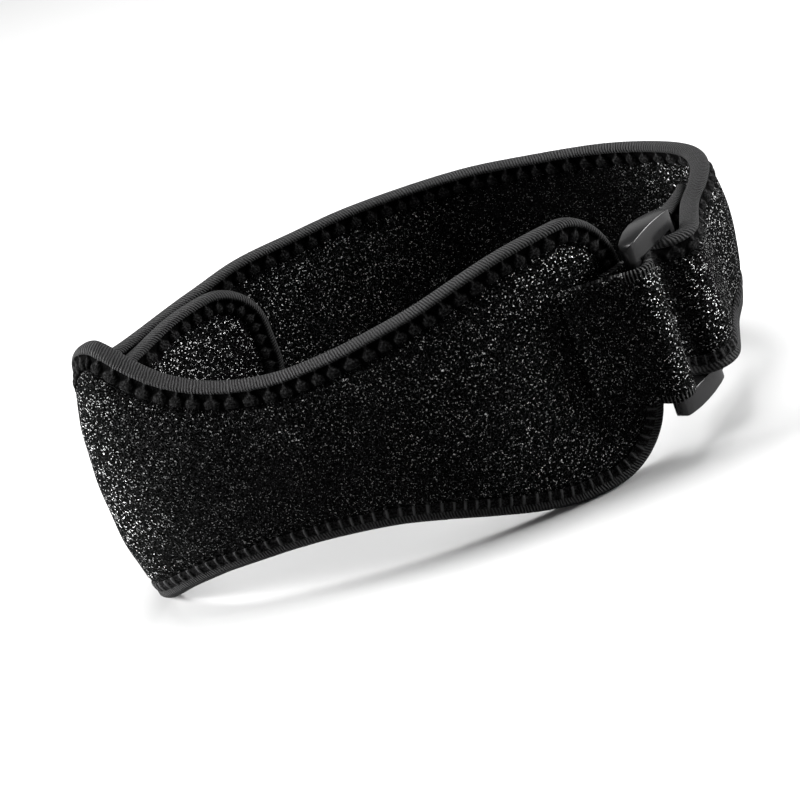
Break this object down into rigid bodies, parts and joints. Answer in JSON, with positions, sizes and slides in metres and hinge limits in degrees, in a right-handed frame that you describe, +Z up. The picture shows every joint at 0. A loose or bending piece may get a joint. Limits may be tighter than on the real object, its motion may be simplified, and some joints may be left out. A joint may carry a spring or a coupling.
{
  "type": "patella strap",
  "caption": "Padded cloth loop for below the kneecap: tall contoured front panel, taped edges, narrower band and strap drawn back through a plastic slide buckle.",
  "frame": {"origin": "centre of the outline seen from above, at the height of the floor it stands on", "axes": "+X along the length of the front panel towards the buckle, +Y from the front panel to the back band, +Z up, the way the leg goes in"},
  "size_m": [0.172, 0.0954, 0.0731],
  "materials": {
    "pad_cloth": "near-black knitted cloth with fine light specks, laminated on foam",
    "edge_tape": "dark grey satin elastic tape with fine slanting ribs",
    "tab_cloth": "thin near-black knitted cloth with a seam at its end",
    "buckle_plastic": "moulded black plastic, semi-gloss"
  },
  "bodies": {
    "root": {"front_panel": "pad_cloth", "front_panel_binding": "edge_tape", "back_band": "pad_cloth", "back_band_binding": "edge_tape", "buckle_tab": "tab_cloth", "buckle": "buckle_plastic"}
  },
  "joints": []
}
